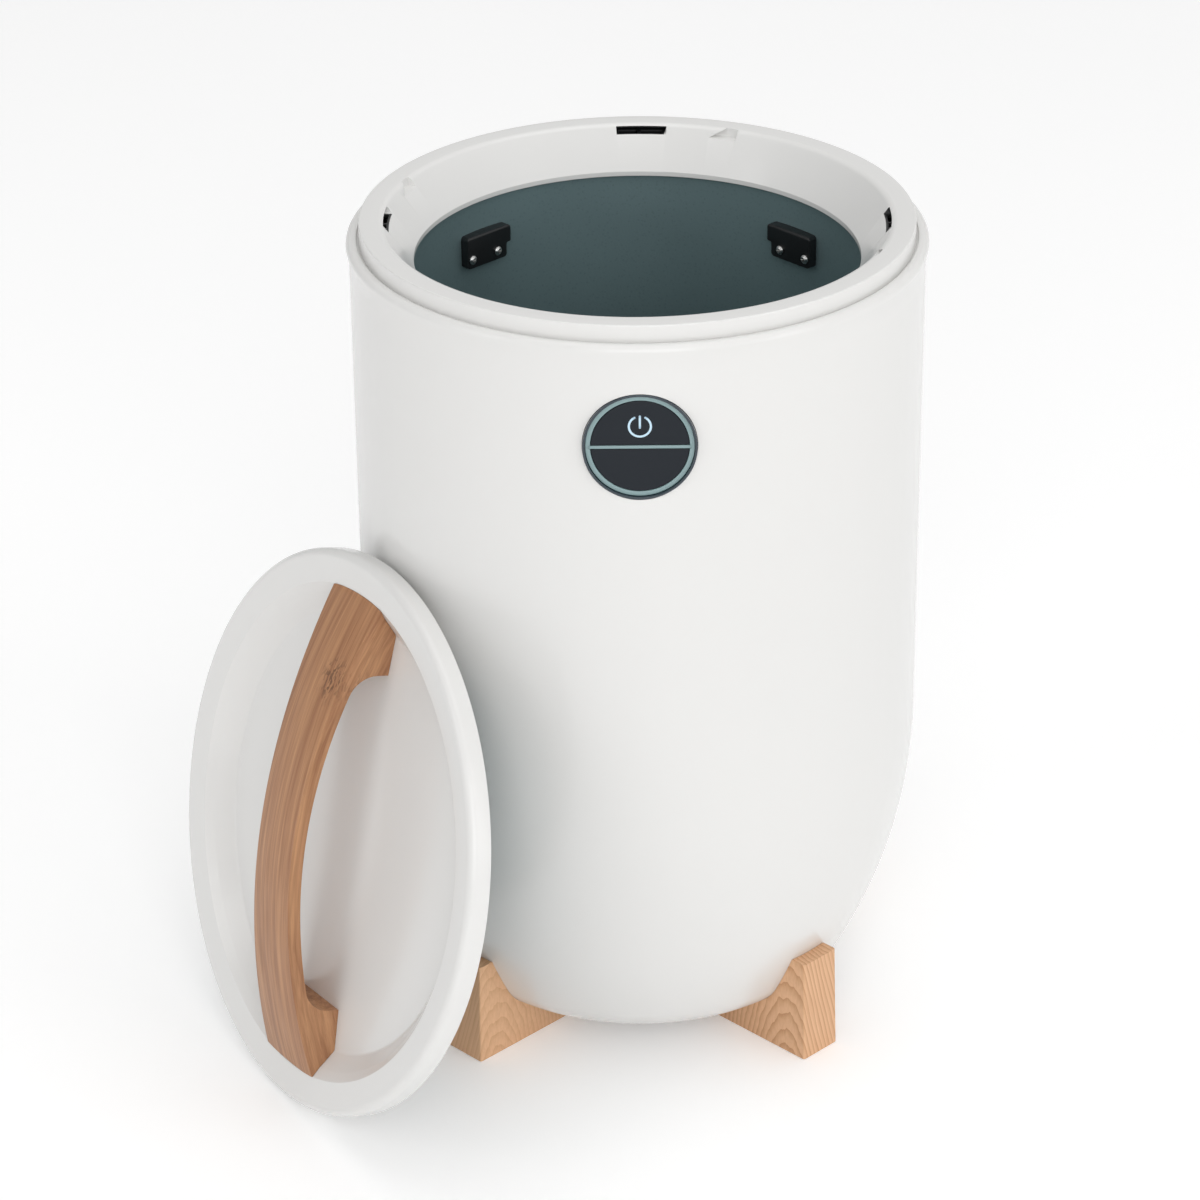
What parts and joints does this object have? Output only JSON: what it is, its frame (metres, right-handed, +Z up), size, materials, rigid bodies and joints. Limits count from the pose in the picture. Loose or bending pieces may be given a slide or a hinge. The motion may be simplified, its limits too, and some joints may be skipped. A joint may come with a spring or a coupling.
{
  "type": "towel warmer",
  "caption": "Round bucket towel warmer on wooden feet, with a heated liner, bayonet collar, front control panel and a lid with a bent bamboo handle leaning on its side.",
  "frame": {"origin": "on the barrel's axis, on the floor that the feet stand on", "axes": "+Z up, -Y towards the control panel, +X to the right seen from the front"},
  "size_m": [0.4259, 0.4129, 0.4781],
  "materials": {
    "white_shell": "white moulded plastic with a soft gloss",
    "dark_base": "pale moulded plastic, matte",
    "wood_feet": "clear-coated light wood",
    "bamboo": "bent bamboo, clear coated, straight grain",
    "liner_coating": "dark non-stick coating with a soft sheen",
    "black_plastic": "black moulded plastic",
    "bezel_navy": "very dark blue gloss plastic",
    "teal_ring": "pale teal light guide",
    "key_gloss": "dark high-gloss key top",
    "plunger_white": "white moulded plastic",
    "steel_screw": "plated steel screws",
    "heater_film": "amber heater film",
    "felt": "pale needled felt",
    "thermostat_body": "brown moulded body with metal cap",
    "fuse_body": "pale sleeve",
    "board_green": "green solder mask",
    "led_lens": "clear lamp body",
    "component_yellow": "moulded component bodies",
    "wire_jacket": "white wire jacket",
    "seal_silicone": "grey silicone"
  },
  "bodies": {
    "barrel": {"outer_shell": "white_shell", "collar_ring": "white_shell", "base_cover": "dark_base", "foot_front_left": "wood_feet", "foot_front_right": "wood_feet", "foot_rear_left": "wood_feet", "foot_rear_right": "wood_feet", "inner_liner": "liner_coating", "liner_bracket_left": "black_plastic", "liner_bracket_right": "black_plastic", "cord_gland": "black_plastic", "gland_nut": "black_plastic", "board_connector": "black_plastic", "terminal_block": "black_plastic", "power_switch": "black_plastic", "timer_switch": "black_plastic", "panel_bezel": "bezel_navy", "light_ring": "teal_ring", "board_pillars": "plunger_white", "base_screws": "steel_screw", "foot_screws": "steel_screw", "liner_screws": "steel_screw", "bracket_screws": "steel_screw", "bracket_nuts": "steel_screw", "control_board_screws": "steel_screw", "board_screws": "steel_screw", "heating_film": "heater_film", "insulation_sleeve": "felt", "thermostat": "thermostat_body", "thermal_fuse": "fuse_body", "temperature_sensor": "fuse_body", "control_board": "board_green", "power_board": "board_green", "indicator_leds": "led_lens", "power_board_parts": "component_yellow", "control_cable": "wire_jacket", "heater_leads": "wire_jacket", "thermostat_leads": "wire_jacket"},
    "lid": {"lid_top": "white_shell", "lid_handle": "bamboo", "lid_inner_cover": "liner_coating", "lid_handle_screws": "steel_screw", "lid_cover_screws": "steel_screw", "lid_insulation": "felt", "lid_seal": "seal_silicone"},
    "power_key": {"power_button": "key_gloss", "power_plunger": "plunger_white"},
    "timer_key": {"timer_button": "key_gloss", "timer_plunger": "plunger_white"}
  },
  "joints": [
    {"name": "lid_lift", "type": "slide", "parent": "barrel", "child": "lid", "axis": [-0.8294, -0.5013, 0.2465], "range_m": [0, 0.25]},
    {"name": "power_press", "type": "slide", "parent": "barrel", "child": "power_key", "axis": [0, 1, 0], "range_m": [0, 0.0008], "stiffness_N_per_m": 800, "springref_m": -0.001},
    {"name": "timer_press", "type": "slide", "parent": "barrel", "child": "timer_key", "axis": [0, 1, 0], "range_m": [0, 0.0008], "stiffness_N_per_m": 800, "springref_m": -0.001}
  ]
}
